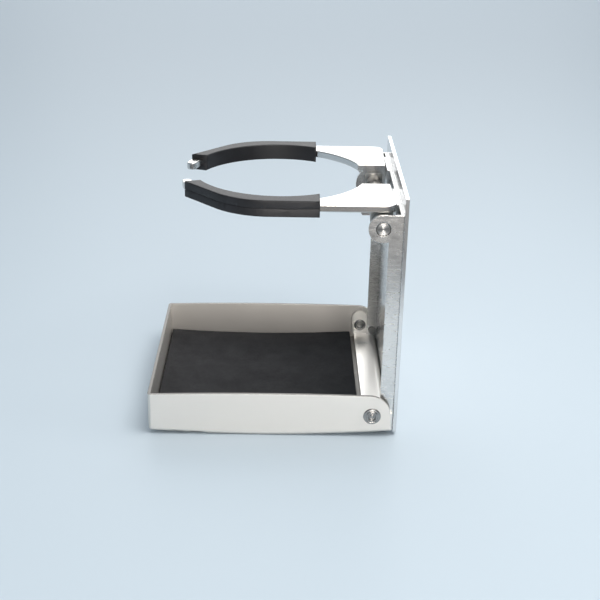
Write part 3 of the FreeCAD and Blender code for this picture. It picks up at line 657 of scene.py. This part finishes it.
# The inner end, measured inwards from the ear's inner face.
RIVET_TAIL = ((0.0, 2.2), (0.12, 2.9), (0.45, 2.85), (0.75, 2.3), (0.60, 1.7), (0.1, 1.4),
              (0.1, 0.0))
EAR_SHEET = 1.2 * MM
HEAD_SHEET = 0.8 * MM
SHARP_ANGLE = math.radians(25)


def make_rivet(side, sign):
    """A tubular rivet, spun about the tray pin's axis."""
    node = f"{side}_tray_rivet"
    low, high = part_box(node)
    head_face = max(abs(low.x), abs(high.x)) - HEAD_SHEET
    tail_face = max(abs(c.x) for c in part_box("hinge_bracket")) - EAR_SHEET
    axis = middle_of(node)
    points = [(head_face + out * MM, radius * MM) for out, radius in RIVET_SECTION]
    points += [(tail_face - inwards * MM, radius * MM) for inwards, radius in RIVET_TAIL]
    shape = bmesh.new()
    corners = [shape.verts.new((sign * across, axis.y, axis.z + radius))
               for across, radius in points]
    for first, second in zip(corners, corners[1:]):
        shape.edges.new((first, second))
    bmesh.ops.spin(shape, geom=shape.verts[:] + shape.edges[:], cent=(0, axis.y, axis.z),
                   axis=(1, 0, 0), angle=math.tau, steps=RIVET_STEPS, use_merge=True)
    bmesh.ops.remove_doubles(shape, verts=shape.verts, dist=MERGE)
    bmesh.ops.recalc_face_normals(shape, faces=shape.faces)
    sharp = [e for e in shape.edges if e.calc_face_angle(0) > SHARP_ANGLE]
    bmesh.ops.bevel(shape, geom=sharp, offset=RIVET_EDGE, offset_type="OFFSET",
                    affect="EDGES", segments=2, profile=0.5, material=-1)
    rivet = finish_piece(f"rolled_{node}", shape, tray_pin_steel, "base",
                         (node,))
    shade_smooth(rivet, math.radians(40))


make_rivet("right", 1)
make_rivet("left", -1)

# %% [markdown]
# ## Arm springs
# The springs are hidden in use, and are assumed: a compression spring on the pin that
# pushes each arm inwards, squeezed between the arm's saddle and the ear's washer when
# the arm slides out.  Each spring is one rigid coil that rides on the hinge, and a rigid
# coil would be cut by the saddle as its arm slides.  The coil is one small circle of
# wire, spun about the pin while it moves along it.  It has four turns, because five
# turns of this wire would be solid, coil on coil, before the arm reached the end of its
# slide.

# %% Springs
WIRE_RADIUS = 0.4 * MM
COIL_RADIUS = 3.8 * MM
SPRING_TURNS = 4
STEPS_PER_TURN = 36
WIRE_SIDES = 12
END_CLEARANCE = 0.1 * MM


def make_spring(side, sign):
    """A compression spring on the pin, from the arm's saddle to the ear's washer."""
    node = f"{side}_arm_spring"
    washer_face = min(abs(corner.x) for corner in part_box(f"{side}_ear_washer"))
    saddle_face = max(abs(corner.x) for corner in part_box(f"{side}_arm_saddle"))
    inner = saddle_face + END_CLEARANCE
    outer = washer_face - END_CLEARANCE
    run = outer - inner - 2 * WIRE_RADIUS
    steps = SPRING_TURNS * STEPS_PER_TURN
    shape = bmesh.new()
    bmesh.ops.create_circle(shape, segments=WIRE_SIDES, radius=WIRE_RADIUS)
    start = Vector((sign * (inner + WIRE_RADIUS), arm_pin_axis.y + COIL_RADIUS, arm_pin_axis.z))
    bmesh.ops.translate(shape, verts=shape.verts, vec=start)
    bmesh.ops.spin(shape, geom=shape.verts[:] + shape.edges[:],
                   cent=(0, arm_pin_axis.y, arm_pin_axis.z), axis=(1, 0, 0),
                   dvec=(sign * run / steps, 0, 0), angle=math.tau * SPRING_TURNS,
                   steps=steps)
    bmesh.ops.remove_doubles(shape, verts=shape.verts, dist=MERGE)
    bmesh.ops.holes_fill(shape, edges=[e for e in shape.edges if e.is_boundary])
    bmesh.ops.recalc_face_normals(shape, faces=shape.faces)
    spring = finish_piece(f"coiled_{node}", shape, spring_steel, "hinge",
                          (node,))
    shade_smooth(spring)
    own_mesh(spring)


make_spring("right", 1)
make_spring("left", -1)
